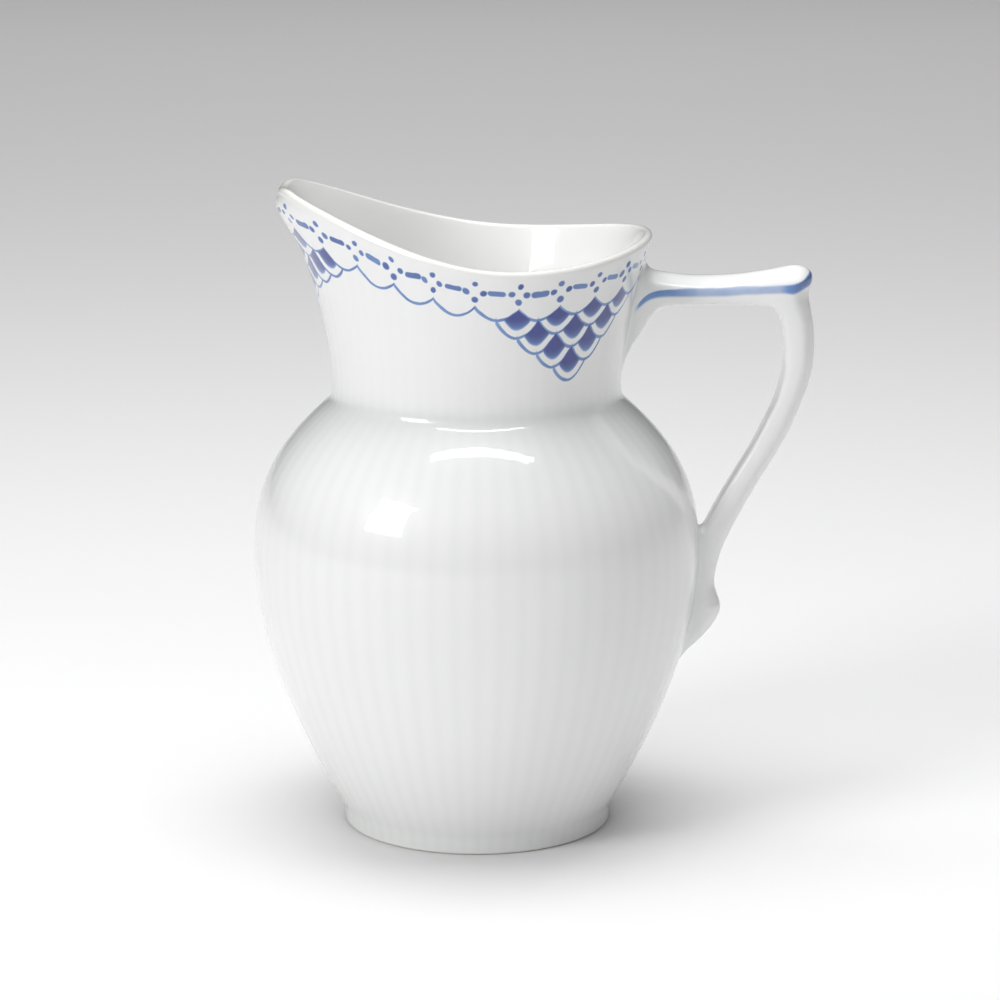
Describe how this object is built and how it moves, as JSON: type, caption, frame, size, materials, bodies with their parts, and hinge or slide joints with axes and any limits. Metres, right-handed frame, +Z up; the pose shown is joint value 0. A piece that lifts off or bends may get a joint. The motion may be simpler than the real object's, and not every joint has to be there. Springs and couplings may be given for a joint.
{
  "type": "cream jug",
  "caption": "Porcelain cream jug with a fluted round belly, a flared neck drawn out to a pouring lip and an angular handle.",
  "frame": {"origin": "centre of the foot ring, on the surface that the jug stands on", "axes": "+Z up, handle along +X, pouring lip along -X"},
  "size_m": [0.0986, 0.0788, 0.1143],
  "materials": {
    "vessel_porcelain": "clear glossy glaze over cobalt blue hand painting",
    "handle_porcelain": "clear glossy glaze over a cobalt blue line",
    "slip": "fired slip under clear glossy glaze"
  },
  "bodies": {
    "root": {"vessel": "vessel_porcelain", "handle": "handle_porcelain", "upper_slip_joint": "slip", "lower_slip_joint": "slip"}
  },
  "joints": []
}
